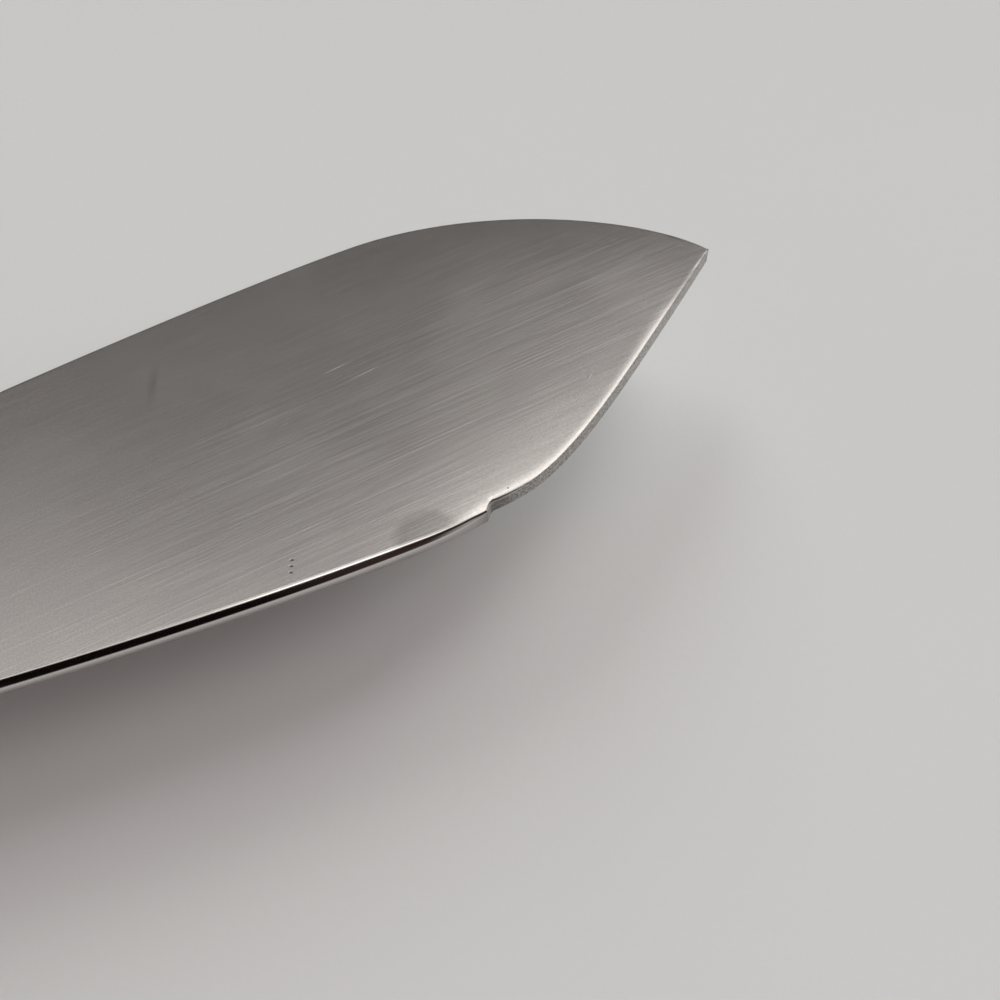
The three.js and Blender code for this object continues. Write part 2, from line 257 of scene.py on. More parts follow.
def spine_outline():
    """Handle side, shoulder up to the crest, fall to the notch, hollow step of the notch, and clip to the
    tip."""
    neck = (0.0, -HALF_NECK)
    crest = (spine_crest, -HALF_BLADE)
    notch_top = (notch_start, -HALF_BLADE + NOTCH_FALL)
    notch_bend = beside(notch_top, NOTCH_PULL, NOTCH_ANGLE)
    notch_floor = (notch_end, -HALF_BLADE + NOTCH_FALL + NOTCH_DEPTH)
    tip = (BLADE_LENGTH, TIP_RISE - TIP_BLUNT / 2)
    shoulder_bend = beside(neck, SHOULDER_PULL, -SHOULDER_ANGLE)
    clip_bend = beside(tip, -CLIP_TIP_PULL, CLIP_ANGLE)
    return np.vstack([
        handle_side(-1),
        bezier(neck, shoulder_bend, beside(crest, -SPINE_CREST_PULL, 0), crest),
        bezier(crest, beside(crest, NOTCH_AHEAD / 2, 0), notch_top),
        bezier(notch_top, notch_bend, beside(notch_floor, -NOTCH_PULL, 0), notch_floor),
        bezier(notch_floor, beside(notch_floor, CLIP_START_PULL, 0), clip_bend, tip),
    ])


def edge_outline():
    """Handle side, shoulder up to the crest, and the full curve of the nose down to the tip."""
    neck = (0.0, HALF_NECK)
    crest = (edge_crest, HALF_BLADE)
    tip = (BLADE_LENGTH, TIP_RISE + TIP_BLUNT / 2)
    shoulder_bend = beside(neck, SHOULDER_PULL, SHOULDER_ANGLE)
    return np.vstack([
        handle_side(1),
        bezier(neck, shoulder_bend, beside(crest, -EDGE_CREST_PULL, 0), crest),
        bezier(crest, beside(crest, EDGE_NOSE_PULL, 0), beside(tip, -TIP_PULL, -TIP_ANGLE), tip),
    ])


SPINE = spine_outline()
EDGE = edge_outline()


def across(outline, x):
    """How far across an outline lies at each x, read off between its places."""
    return np.interp(x, outline[:, 0], outline[:, 1])


def stretch(outline, x):
    """Length straight across of one unit square to the outline: the hypotenuse of 1 and its slope."""
    slope = (across(outline, x + SLOPE_REACH) - across(outline, x - SLOPE_REACH)) / (2 * SLOPE_REACH)
    return np.hypot(1.0, slope)


def levelled(outline, x):
    """The outline without its notch: its mean over a short run to each side of x."""
    runs = np.linspace(-LEVEL_RUN, LEVEL_RUN, LEVEL_STEPS)
    return across(outline, x[..., None] + runs).mean(axis=-1)


def smooth(start, end, x):
    """Smooth step from 0 at start to 1 at end."""
    t = np.clip((x - start) / (end - start), 0.0, 1.0)
    return t * t * (3 - 2 * t)


def gathered(start, end, count):
    """Stations from start to end that gather towards the end, as the sine of a quarter turn does."""
    return start + (end - start) * np.sin(np.linspace(0.0, math.pi / 2, count))


# Meshes

def new_object(name, data):
    """Object of a mesh, a camera or a lamp in the scene."""
    made = bpy.data.objects.new(name, data)
    bpy.context.scene.collection.objects.link(made)
    return made


def surface(name, rings, **marks):
    """Closed surface through a ring of places at each station: quads between neighbouring rings, and a fan
    round the middle of the first and of the last ring. The UV map holds the length round the ring and the
    length along the stations, and each mark is a value at every place, kept as an attribute."""
    stations, size = rings.shape[:2]
    middles = rings[[0, -1]].mean(axis=1)
    places = np.vstack([rings.reshape(-1, 3), middles])
    here = np.arange(stations * size).reshape(stations, size)
    following = np.roll(here, -1, axis=1)
    quads = np.stack([here[:-1], following[:-1], following[1:], here[1:]], axis=-1).reshape(-1, 4)
    first = np.stack([following[0], here[0], np.full(size, stations * size)], axis=-1)
    last = np.stack([here[-1], following[-1], np.full(size, stations * size + 1)], axis=-1)
    mesh = bpy.data.meshes.new(name)
    mesh.from_pydata((places + ORIGIN) * MM, [], quads.tolist() + first.tolist() + last.tolist())

    steps = np.linalg.norm(np.diff(rings, axis=0), axis=2).mean(axis=1)
    along = np.concatenate([[0.0], np.cumsum(steps)])
    sides = np.linalg.norm(np.roll(rings, -1, axis=1) - rings, axis=2).mean(axis=0)
    round_ring = np.concatenate([[0.0], np.cumsum(sides)])
    left = np.broadcast_to(round_ring[:-1], (stations, size))
    right = np.broadcast_to(round_ring[1:], (stations, size))
    v = np.broadcast_to(along[:, None], (stations, size))
    fan = np.linalg.norm(rings[[0, -1]] - middles[:, None], axis=2).mean(axis=1)
    corners_u = (
        [left[:-1], right[:-1], right[1:], left[1:]], [right[0], left[0], left[0]],
        [left[-1], right[-1], left[-1]],
    )
    corners_v = (
        [v[:-1], v[:-1], v[1:], v[1:]], [v[0], v[0], v[0] - fan[0]], [v[-1], v[-1], v[-1] + fan[1]],
    )
    uv = [
        np.concatenate([np.stack(faces, axis=-1).ravel() for faces in corners])
        for corners in (corners_u, corners_v)
    ]
    layer = mesh.uv_layers.new(name="surface")
    layer.uv.foreach_set("vector", (np.column_stack(uv) * MM).ravel())
    for mark, values in marks.items():
        ends = values[[0, -1]].mean(axis=1)
        attribute = mesh.attributes.new(mark, "FLOAT", "POINT")
        attribute.data.foreach_set("value", np.concatenate([values.ravel(), ends]))
    return new_object(name, mesh)


def turned(name, profile, x, fineness=TURN_FINENESS):
    """Solid turned about an upright axis at x: the profile of radius and height is cut into short lengths,
    and each of its places is carried round a circle."""
    profile = np.array(profile, float)
    counts = np.ceil(np.linalg.norm(np.diff(profile, axis=0), axis=1) / fineness).astype(int)
    cuts = [np.linspace(a, b, n + 1)[:-1] for a, b, n in zip(profile[:-1], profile[1:], counts)]
    radius, height = np.vstack([*cuts, profile[-1:]]).T
    turn = np.linspace(0.0, 2 * math.pi, TURN_SEGMENTS, endpoint=False)
    ring_x = x + radius[:, None] * np.cos(turn)
    ring_y = radius[:, None] * np.sin(turn)
    ring_z = np.broadcast_to(height[:, None], ring_x.shape)
    return surface(name, np.stack([ring_x, ring_y, ring_z], axis=-1))


def drill(piece, drills):
    """Cuts the drills out of a piece and keeps the cut mesh."""
    for cutter in drills:
        cut = piece.modifiers.new(cutter.name, "BOOLEAN")
        cut.operation = "DIFFERENCE"
        cut.solver = "EXACT"
        cut.object = cutter
    graph = bpy.context.evaluated_depsgraph_get()
    mesh = bpy.data.meshes.new_from_object(piece.evaluated_get(graph))
    piece.modifiers.clear()
    piece.data = mesh
    for cutter in drills:
        bpy.data.objects.remove(cutter)


def finish_piece(piece, node, material):
    """Smooth shading with sharp corners, the material, and the piece's place in the frame."""
    piece.data.shade_smooth()
    piece.data.set_sharp_from_angle(angle=SHARP_ANGLE)
    piece.data.materials.clear()
    piece.data.materials.append(material)
    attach(piece, "root")
    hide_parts(node)


# Pieces

def eased(distance, width, depth, fullness=1.0):
    """Depth of an elliptical ease at a distance d from the edge, where it is above 0:
    depth * (1 - fullness * sqrt(1 - (1 - d / width)^2))."""
    share = np.clip(1 - distance / width, 0.0, 1.0)
    return depth * np.maximum(1 - fullness * np.sqrt(1 - share * share), 0.0)


def ease_end(fullness):
    """Share of an ease's width at which it meets the face, and the quarter turn's angle there."""
    turn = math.asin(1 / fullness)
    return 1 - math.cos(turn), turn


def rolled(distance, width, depth):
    """Depth of a face that falls away towards its edge: depth * (1 - d / width)^2."""
    return depth * np.clip(1 - distance / width, 0.0, 1.0) ** 2


def blade_surface():
    """Blank of blade and tang. Rows of places run across the face from the spine to the spreading edge,
    closer together near both, and lie at half the blank's thickness less what the eased edges, the roll and
    the fall towards the clip and the thinned nose take away there. The under face mirrors the upper one."""
    x = np.unique(np.concatenate([
        gathered(corner_end, -HANDLE_LENGTH, BUTT_STATIONS),
        np.linspace(corner_end, 0.0, TANG_STATIONS),
        np.linspace(EASE_START, spine_crest - CREST_RUN, REAR_STATIONS),
        np.linspace(spine_crest - CREST_RUN, notch_start, CREST_STATIONS),
        np.linspace(notch_start, notch_end, NOTCH_STATIONS),
        np.linspace(notch_end, notch_end + CLIP_START_RUN, CLIP_START_STATIONS),
        gathered(notch_end + CLIP_START_RUN, BLADE_LENGTH, NOSE_STATIONS),
    ]))[:, None]
    spine_y = across(SPINE, x)
    edge_y = across(EDGE, x)
    spine_stretch = stretch(SPINE, x)
    edge_stretch = stretch(EDGE, x)

    # Widths and depths of the eases along the blade
    run = np.clip(1 - (notch_start - x) / SPINE_THINNING, 0.0, 1.0)
    thinned = 1 - (1 - SPINE_EASE_LEFT) * run**THINNING_POWER
    burr = CLIP_EASE + (BURR_EASE - CLIP_EASE) * (1 - smooth(notch_end, notch_end + BURR_RUN, x))
    tang = x < EASE_START
    on_clip = x > (notch_start + notch_end) / 2
    plain = [tang, on_clip]
    spine_width = np.select(plain, [TANG_EASE, burr], SPINE_EASE_WIDTH * thinned)
    spine_depth = np.select(plain, [TANG_EASE, burr], SPINE_EASE_DEPTH * thinned)
    fullness = np.select(plain, [1.0, 1.0], SPINE_FULLNESS)
    edge_width = np.where(tang, TANG_EASE, EDGE_EASE)

    # Rows across: the eases, the strips next to them, and the face between
    crease_share, crease_turn = ease_end(SPINE_FULLNESS)
    spine_inset = 1 - np.cos(np.linspace(0.0, crease_turn, EASE_ROWS))
    edge_inset = 1 - np.cos(np.linspace(0.0, math.pi / 2, EASE_ROWS))
    strip = np.concatenate([[CREASE_SHARE], np.linspace(0.0, 1.0, REACH_ROWS + 1)[1:]])
    crease = spine_width * crease_share
    spine_rows = np.hstack([spine_width * spine_inset, crease + (FACE_REACH - crease) * strip])
    edge_rows = np.hstack([edge_width * edge_inset, edge_width + (FACE_REACH - edge_width) * strip])
    room = (edge_y - spine_y) * EASE_LIMIT
    spine_rows = spine_rows * np.minimum(spine_stretch, room / FACE_REACH)
    edge_rows = edge_rows * np.minimum(edge_stretch, room / FACE_REACH)
    face_share = np.linspace(0.0, 1.0, FACE_ROWS + 2)[1:-1]
    face_start = spine_y + spine_rows[:, -1:]
    face_end = edge_y - edge_rows[:, -1:]
    y = np.hstack([
        spine_y + spine_rows,
        face_start + (face_end - face_start) * face_share,
        edge_y - edge_rows[:, ::-1],
    ])
    from_spine = (y - spine_y) / spine_stretch
    from_edge = (edge_y - y) / edge_stretch

    # The roll and the fall towards the clip, measured from the spine without its notch
    level_y = levelled(SPINE, x)
    level_slope = (levelled(SPINE, x + LEVEL_RUN) - levelled(SPINE, x - LEVEL_RUN)) / (2 * LEVEL_RUN)
    from_level = (y - level_y) / np.hypot(1.0, level_slope)
    roll_places = [
        notch_start - ROLL_START, notch_start, notch_end, notch_end + ROLL_NARROWING,
        BLADE_LENGTH - ROLL_WIDENING_BACK, BLADE_LENGTH - ROLL_FADE_BACK,
    ]
    roll_widths = [
        ROLL_WIDTH_AT_START, ROLL_WIDTH_AT_NOTCH, ROLL_WIDTH_AT_NOTCH, ROLL_WIDTH,
        ROLL_WIDTH, ROLL_WIDTH_AT_NOSE,
    ]
    roll_width = np.interp(x, roll_places, roll_widths)
    from_tip = BLADE_LENGTH - x
    roll_share = smooth(notch_start - ROLL_START, notch_start, x)
    roll_share = roll_share * smooth(ROLL_END_BACK, ROLL_FADE_BACK, from_tip)
    roll_depth = ROLL_SLOPE * roll_width / 2 * roll_share
    fall_share = smooth(notch_start - FALL_BEFORE, notch_end, x)
    fall_share = fall_share * smooth(FALL_END_BACK, FALL_FADE_BACK, from_tip)
    nose_depth = NOSE_THINNING_DEPTH * smooth(NOSE_THINNING_START, NOSE_THINNING_FULL, x)
    taken = (
        eased(from_spine, spine_width, spine_depth, fullness)
        + eased(from_edge, edge_width, edge_width)
        + rolled(from_level, roll_width, roll_depth)
        + rolled(from_level, FALL_WIDTH, FALL_DEPTH * fall_share)
        + rolled(from_edge, NOSE_THINNING_WIDTH, nose_depth)
    )
    z = np.maximum(HALF_BLANK - taken, LEAST_HALF_WALL)

    # Marks: the eased rims, the ground clip, and painted shade on the spine's eased rim at the notch
    rim = np.where((from_spine < crease * RIM_SHARE) | (from_edge < edge_width * RIM_SHARE), 1.0, 0.0)
    wall = from_spine < WALL_REACH
    ground = np.where(wall, on_clip, smooth(notch_end, notch_end + BURR_RUN, x))
    ground = np.where(from_spine < from_edge, ground, 0.0)
    on_spine_rim = rim * (from_spine < from_edge) > 0
    # Painted shade: darker colour on the spine's eased rim, fading away from the notch's end
    grime = np.where(on_spine_rim, np.exp(-(((x - notch_end) / NOTCH_SHADE_REACH) ** 2)), 0.0)

    def ring(values):
        """Values of the rows carried round the blank, the same on both faces."""
        return np.hstack([values, values[:, ::-1]])

    rings = np.stack([
        np.broadcast_to(x, (len(x), 2 * y.shape[1])), ring(y), np.hstack([-z, z[:, ::-1]])
    ], axis=-1)
    return surface("brushed_blade", rings, rim=ring(rim), ground=ring(ground), grime=ring(grime))


def slab_surface(name, x, height, side):
    """Bolster or scale: at each station an upright wall, a shoulder of a quarter ellipse and a flat outer
    face, all in proportion to the height there. Its ends are eased by a small quarter circle. On the under
    side of the blank, y and z change their signs."""
    from_end = np.minimum(x - x[0], x[-1] - x)
    x = x[:, None]
    inset = eased(from_end, END_EASE, END_EASE)[:, None]
    half = across(EDGE, x) - inset
    height = height[:, None] - inset
    share = height / SLAB_THICKNESS
    wall = SLAB_WALL * share
    shoulder = np.minimum(SLAB_ROUND * share, half * ROUND_LIMIT)
    turn = np.linspace(0.0, math.pi / 2, SHOULDER_ROWS)
    y = np.hstack([half, half - shoulder * (1 - np.cos(turn)), (half - shoulder) * np.array(OUTER_PLACES)])
    z = np.hstack([0 * half, wall + (height - wall) * np.sin(turn), height, height])
    ring_y = np.hstack([-half * np.array(INNER_PLACES), y, -y[:, :0:-1]])
    ring_z = np.hstack([0 * half, 0 * half, 0 * half, z, z[:, :0:-1]])
    rim = np.exp(-from_end[:, None] / END_RIM) + WALL_RIM_SHARE * np.exp(-ring_z / WALL_RIM)
    ring_x = np.broadcast_to(x, ring_y.shape)
    rings = np.stack([ring_x, side * ring_y, side * (HALF_BLANK + ring_z)], axis=-1)
    return surface(name, rings, rim=np.clip(rim, 0.0, 1.0))


def end_stations(start, end):
    """Stations that gather at both ends, where the small eases are."""
    ease = END_EASE * (1 - np.cos(np.linspace(0.0, math.pi / 2, EASE_STATIONS)))
    return np.concatenate([start + ease, end - ease])


def bolster_surface(name, side):
    """The height rises from the nose in a quarter sine wave to the full thickness."""
    x = np.unique(np.concatenate([
        end_stations(-BOLSTER_LENGTH, 0.0),
        np.linspace(-BOLSTER_LENGTH + END_EASE, -NOSE_LENGTH, BOLSTER_STATIONS),
        np.linspace(-NOSE_LENGTH, -END_EASE, BOLSTER_NOSE_STATIONS),
    ]))
    share = np.clip(-x / NOSE_LENGTH, 0.0, 1.0)
    height = NOSE_HEIGHT + (SLAB_THICKNESS - NOSE_HEIGHT) * np.sin(share * math.pi / 2)
    return slab_surface(name, x, height, side)


def scale_surface(name, side):
    """The height is the full thickness, and falls in a quarter ellipse to the butt."""
    x = np.unique(np.concatenate([
        end_stations(-HANDLE_LENGTH, SCALE_FRONT),
        gathered(corner_end, -HANDLE_LENGTH + END_EASE, SCALE_BUTT_STATIONS),
        np.linspace(corner_end, SCALE_FRONT - END_EASE, SCALE_STATIONS),
    ]))
    share = np.clip(1 - (x + HANDLE_LENGTH) / BUTT_FALL, 0.0, 1.0)
    height = BUTT_HEIGHT + (SLAB_THICKNESS - BUTT_HEIGHT) * np.sqrt(1 - share * share)
    return slab_surface(name, x, height, side)


def node_x(node):
    """Middle of a node along the spreader, from the bolsters' nose."""
    lowest, highest = node_box(node)
    return (lowest[0] + highest[0]) / 2 - nose_x


def dome(radius, height, side):
    """Places on a head's face from its rim inwards, raised towards the middle by a parabola."""
    reach = np.linspace(radius, AXIS_RADIUS, DOME_PLACES)
    return [(r, height + side * HEAD_DOME * (1 - (r / radius) ** 2)) for r in reach]


def rivet_male(name, x):
    """Half of a rivet with the solid post, its head below."""
    post_end = head_inner - POST_SHORT
    return turned(name, [
        *dome(HEAD_RADIUS - CHAMFER, -HEAD_OUTER, -1)[::-1],
        (HEAD_RADIUS, -HEAD_OUTER + CHAMFER),
        (HEAD_RADIUS, -head_inner),
        (POST_RADIUS, -head_inner),
        (POST_RADIUS, post_end - CHAMFER),
        (POST_RADIUS - CHAMFER, post_end),
        (AXIS_RADIUS, post_end),
    ], x)


def rivet_female(name, x):
    """Half of a rivet with the tube that the post is pressed into, its head above."""
    bore = POST_RADIUS + FIT
    tube_end = -head_inner + TUBE_SHORT
    return turned(name, [
        (AXIS_RADIUS, head_inner),
        (bore, head_inner),
        (bore, tube_end),
        (TUBE_RADIUS, tube_end),
        (TUBE_RADIUS, head_inner),
        (HEAD_RADIUS, head_inner),
        (HEAD_RADIUS, HEAD_OUTER - CHAMFER),
        *dome(HEAD_RADIUS - CHAMFER, HEAD_OUTER, 1),
    ], x)


def bolster_pin(name, x):
    """Plain round pin with slightly domed ends."""
    end = PIN_END - HEAD_DOME
    return turned(name, [*dome(PIN_RADIUS, -end, -1)[::-1], *dome(PIN_RADIUS, end, 1)], x)


def straight_drill(x, radius):
    """Drill through the whole thickness of the handle."""
    radius = radius + FIT
    return turned("drill", [
        (AXIS_RADIUS, -drill_end), (radius, -drill_end), (radius, drill_end), (AXIS_RADIUS, drill_end),
    ], x, DRILL_FINENESS)


def stepped_drill(x):
    """Drill for both heads of a rivet and the tube between them."""
    tube = TUBE_RADIUS + FIT
    head = HEAD_RADIUS + FIT
    return turned("drill", [
        (AXIS_RADIUS, -drill_end), (head, -drill_end), (head, -head_inner), (tube, -head_inner),
        (tube, head_inner), (head, head_inner), (head, drill_end), (AXIS_RADIUS, drill_end),
    ], x, DRILL_FINENESS)


# Materials

# Where most values of a noise lie, where they make bright lines and worn patches, and the size of marks
NOISE_LOW = 0.3
NOISE_MIDDLE = 0.5
NOISE_HIGH = 0.7
LINE_RANGE = (0.56, 0.74)
WEAR_RANGE = (0.35, 0.9)
RAGGED_SCALE = 2.5
SPOT_DEPTH = 0.3


def feed(tree, socket, value):
    """Sets a node's input to a value, or joins it to another node's output."""
    if isinstance(value, bpy.types.NodeSocket):
        tree.links.new(value, socket)
    else:
        socket.default_value = value


def add_node(tree, kind, inputs=None, **settings):
    """A shader node of a kind, with its settings and its inputs."""
    node = tree.nodes.new("ShaderNode" + kind)
    for name, value in settings.items():
        setattr(node, name, value)
    for name, value in (inputs or {}).items():
        feed(tree, node.inputs[name], value)
    return node


def maths(tree, operation, first, second=0.0, third=0.0):
    """Result of one sum, product or other step."""
    node = add_node(tree, "Math", {0: first, 1: second, 2: third}, operation=operation)
    return node.outputs[0]


def vector_maths(tree, operation, first, second=(0.0, 0.0, 0.0)):
    """Outputs of one step with vectors."""
    return add_node(tree, "VectorMath", {0: first, 1: second}, operation=operation).outputs


def mapped(tree, value, start, end, low=0.0, high=1.0, kind="SMOOTHSTEP"):
    """A value carried from one range to another, held at the ends."""
    inputs = {"Value": value, "From Min": start, "From Max": end, "To Min": low, "To Max": high}
    return add_node(tree, "MapRange", inputs, interpolation_type=kind).outputs["Result"]


def spread(tree, value, low=0.0, high=1.0):
    """The usual range of a noise carried to another one."""
    return mapped(tree, value, NOISE_LOW, NOISE_HIGH, low, high)


def raised(tree, value, *layers):
    """A value with amounts added to it. A layer is a mask and the amount where it is full."""
    for mask, amount in layers:
        value = maths(tree, "ADD", value, maths(tree, "MULTIPLY", mask, amount))
    return value


def blended(tree, share, first, second):
    """Colour between two others."""
    node = add_node(tree, "Mix", data_type="RGBA")
    for socket, value in (("Factor_Float", share), ("A_Color", first), ("B_Color", second)):
        feed(tree, next(s for s in node.inputs if s.identifier == socket), value)
    return next(s for s in node.outputs if s.identifier == "Result_Color")


def tinted(tree, colour, *layers):
    """A colour with tints laid over it. A layer is a mask and its tint, a share and a colour."""
    for mask, (share, tint) in layers:
        colour = blended(tree, maths(tree, "MULTIPLY", mask, share), colour, tint)
    return colour


def noise(tree, vector, scale, detail=2.0, distortion=0.0):
    """Value of a noise pattern whose cells are 1 / scale long."""
    inputs = {"Vector": vector, "Scale": scale, "Detail": detail, "Distortion": distortion}
    return add_node(tree, "TexNoise", inputs).outputs["Fac"]


def drawn_noise(tree, vector, cells, detail, distortion=0.0):
    """Noise with its own number of cells along each axis."""
    stretched = add_node(tree, "Mapping", {"Vector": vector, "Scale": cells}).outputs["Vector"]
    return noise(tree, stretched, 1.0, detail, distortion)


def new_group(name, inputs, outputs):
    """Empty shader group and its two end nodes. Inputs without a value are vectors."""
    group = bpy.data.node_groups.new(name, "ShaderNodeTree")
    for socket, value in inputs.items():
        kind = "NodeSocketVector" if value is None else "NodeSocketFloat"
        made = group.interface.new_socket(socket, in_out="INPUT", socket_type=kind)
        if value is not None:
            made.default_value = value
    for socket in outputs:
        group.interface.new_socket(socket, in_out="OUTPUT", socket_type="NodeSocketFloat")
    return group, group.nodes.new("NodeGroupInput").outputs, group.nodes.new("NodeGroupOutput").inputs


def use_group(tree, group, **inputs):
    """Outputs of a group placed in a material with its own values."""
    node = add_node(tree, "Group", node_tree=group)
    for name, value in inputs.items():
        feed(tree, node.inputs[name.capitalize()], value)
    return node.outputs


def brush_group():
    """Brush lines: noise drawn out along one axis, as a fine grain everywhere and as thin bright lines
    where a second, longer noise runs high."""
    inputs = {"Vector": None, "Fine": None, "Long": None}
    group, given, made = new_group("brush_lines", inputs, ["Grain", "Lines"])
    layers = []
    for cells in (given["Fine"], given["Long"]):
        drawn = vector_maths(group, "MULTIPLY", given["Vector"], cells)["Vector"]
        layers.append(noise(group, drawn, 1.0, detail=1.0))
    group.links.new(layers[0], made["Grain"])
    group.links.new(mapped(group, layers[1], *LINE_RANGE), made["Lines"])
    return group


def wear_group():
    """Edge wear: the rim mark broken up by noise."""
    group, given, made = new_group("edge_wear", {"Vector": None, "Rim": 0.0, "Scale": 800.0}, ["Wear"])
    patches = noise(group, given["Vector"], given["Scale"], detail=4.0)
    worn = maths(group, "ADD", given["Rim"], maths(group, "SUBTRACT", patches, NOISE_MIDDLE))
    group.links.new(mapped(group, worn, *WEAR_RANGE), made["Wear"])
    return group


def handling_group():
    """Marks of handling: soft clouds."""
    group, given, made = new_group("handling", {"Vector": None, "Scale": 100.0}, ["Clouds"])
    clouds = noise(group, given["Vector"], given["Scale"], detail=3.0, distortion=0.4)
    group.links.new(spread(group, clouds), made["Clouds"])
    return group


def spot_group():
    """One mark on the upper face: 1 inside a turned ellipse with a ragged soft border, 0 outside."""
    inputs = {"Vector": None, "Place": None, "Turn": None, "Size": None, "Softness": 0.3, "Ragged": 0.3}
    group, given, made = new_group("spot", inputs, ["Mask"])
    moved = vector_maths(group, "SUBTRACT", given["Vector"], given["Place"])["Vector"]
    rotated = add_node(
        group, "VectorRotate", {"Vector": moved, "Rotation": given["Turn"]},
        rotation_type="EULER_XYZ", invert=True,
    ).outputs["Vector"]
    shared = vector_maths(group, "DIVIDE", rotated, given["Size"])["Vector"]
    reach = vector_maths(group, "LENGTH", shared)["Value"]
    ragged = maths(group, "SUBTRACT", noise(group, shared, RAGGED_SCALE, detail=3.0), NOISE_MIDDLE)
    reach = raised(group, reach, (ragged, given["Ragged"]))
    border = maths(group, "SUBTRACT", 1.0, given["Softness"])
    group.links.new(mapped(group, reach, 1.0, border), made["Mask"])
    return group


brush = brush_group()
wear = wear_group()
handling = handling_group()
spot = spot_group()


def new_material(name, metallic=0.0):
    """Material with its tree, its Principled shader and the object's coordinates."""
    material = bpy.data.materials.new(name)
    material.use_nodes = True
    tree = material.node_tree
    shader = tree.nodes["Principled BSDF"]
    shader.inputs["Metallic"].default_value = metallic
    coordinates = add_node(tree, "TexCoord").outputs["Object"]
    return material, tree, shader, coordinates


def mark(tree, name):
    """Value of an attribute of the surface."""
    return add_node(tree, "Attribute", attribute_name=name).outputs["Fac"]


def lengthways(tree, shader, amount):
    """Brushed gloss: reflections spread round the surface's rings, across lines that run along it."""
    tangent = add_node(tree, "Tangent", direction_type="UV_MAP", uv_map="surface")
    tree.links.new(tangent.outputs["Tangent"], shader.inputs["Tangent"])
    shader.inputs["Anisotropic"].default_value = amount


def finish_shader(tree, shader, colour, rough, relief, height):
    """Gives the shader its colour, its roughness and a relief of a height in millimetres."""
    bump = add_node(tree, "Bump", {"Height": relief, "Distance": height * MM, "Strength": 1.0})
    feed(tree, shader.inputs["Base Color"], colour)
    feed(tree, shader.inputs["Roughness"], rough)
    feed(tree, shader.inputs["Normal"], bump.outputs["Normal"])


# Brush lines: their turn in degrees, the slanting run over which they go from fresh to smoothed, and the
# rear of the blade, where they stay fresh. These places are in the frame's coordinates.
BRUSH_TURN = 3.0
SMOOTHED_SLANT = -0.35
SMOOTHED_START = -27.3
SMOOTHED_FULL = -10.5
SMOOTHED_LEFT = 0.48
FRESH_MOST = 1.15
REAR_START = 36.0
REAR_FULL = 20.0
REAR_FRESH = 0.8

# Marks on the upper face: place from the nose and across, half sizes, turn in degrees, softness, raggedness
STAIN = ((46.1, -10.9), (2.4, 1.95), 0.0, 0.42, 0.4)
PITS = [
    ((38.1 + 0.42 * step, -9.45 + 0.91 * step), (0.15, 0.085), -25.0, 0.6, 0.4)
    for step in (-0.42, 0.0, 0.4)
]
# A dark upright streak on the face: a darker colour there
DARK_STREAK = ((34.8, 6.3), (0.5, 1.9), -25.0, 0.9, 0.6)
SCRATCHES = [
    ((41.3, 0.0), (0.28, 0.035), 8.0, 0.8, 0.3),
    ((43.5, 8.3), (0.35, 0.08), 8.0, 0.8, 0.3),
    ((45.8, 2.6), (1.3, 0.03), 6.0, 0.8, 0.3),
    ((47.3, 1.5), (1.7, 0.03), 6.0, 0.8, 0.3),
    ((60.1, -4.8), (0.3, 0.05), 40.0, 0.7, 0.3),
]
SPECK = ((51.9, -10.0), (0.07, 0.06), 0.0, 0.7, 0.4)

# Steel of the blade. In all materials, cells are counted per metre, and a tint is a share and its colour.
BLADE_ANISOTROPY = 0.5
BLADE_BRUSH_CELLS = {"fine": (170.0, 8000.0, 3000.0), "long": (110.0, 6800.0, 3000.0)}
BLADE_CLOUD_CELLS = 130.0
BLADE_PATCH_CELLS = 420.0
BLADE_WEAR_CELLS = 900.0
PITTING_CELLS = 8000.0
PITTING_RANGE = (0.35, 0.65)
BLADE_COLOURS = ((0.59, 0.56, 0.545, 1), (0.665, 0.635, 0.62, 1))
CLIP_COLOURS = ((0.28, 0.27, 0.26, 1), (0.68, 0.66, 0.64, 1))
LINE_TINT = (0.45, (0.78, 0.755, 0.735, 1))
BLADE_CLOUD_TINT = (0.15, (0.56, 0.54, 0.52, 1))
BLADE_PATCH_TINT = (0.3, (0.6, 0.555, 0.56, 1))
PITTING_TINT = (0.3, (0.46, 0.435, 0.42, 1))
BLADE_WEAR_TINT = (0.6, (0.66, 0.64, 0.62, 1))
# Painted shade on the spine's eased rim at the notch
NOTCH_SHADE_TINT = (0.6, (0.1, 0.095, 0.085, 1))
STAIN_TINT = (0.28, (0.09, 0.085, 0.08, 1))
DARK_STREAK_TINT = (0.18, (0.2, 0.19, 0.18, 1))
PIT_TINT = (0.8, (0.16, 0.14, 0.12, 1))
FACE_ROUGH = (0.21, 0.235)
BLADE_CLOUD_ROUGH = 0.02
RIM_ROUGH = (0.1, 0.42)
PITTING_RELIEF = 17.0
PIT_RELIEF = -34.0
SCRATCH_RELIEF = 7.0
BLADE_RELIEF = 0.0004


def marked(tree, coordinates, *marks):
    """Highest mask of some marks on the blade's upper face."""
    masks = []
    for (x, y), (length, width), turn, softness, ragged in marks:
        place = (np.array([x, y, HALF_BLANK]) + ORIGIN) * MM
        outputs = use_group(
            tree, spot, vector=coordinates, place=tuple(place), turn=(0.0, 0.0, math.radians(turn)),
            size=(length * MM, width * MM, SPOT_DEPTH * MM), softness=softness, ragged=ragged,
        )
        masks.append(outputs["Mask"])
    highest = masks[0]
    for mask in masks[1:]:
        highest = maths(tree, "MAXIMUM", highest, mask)
    return highest


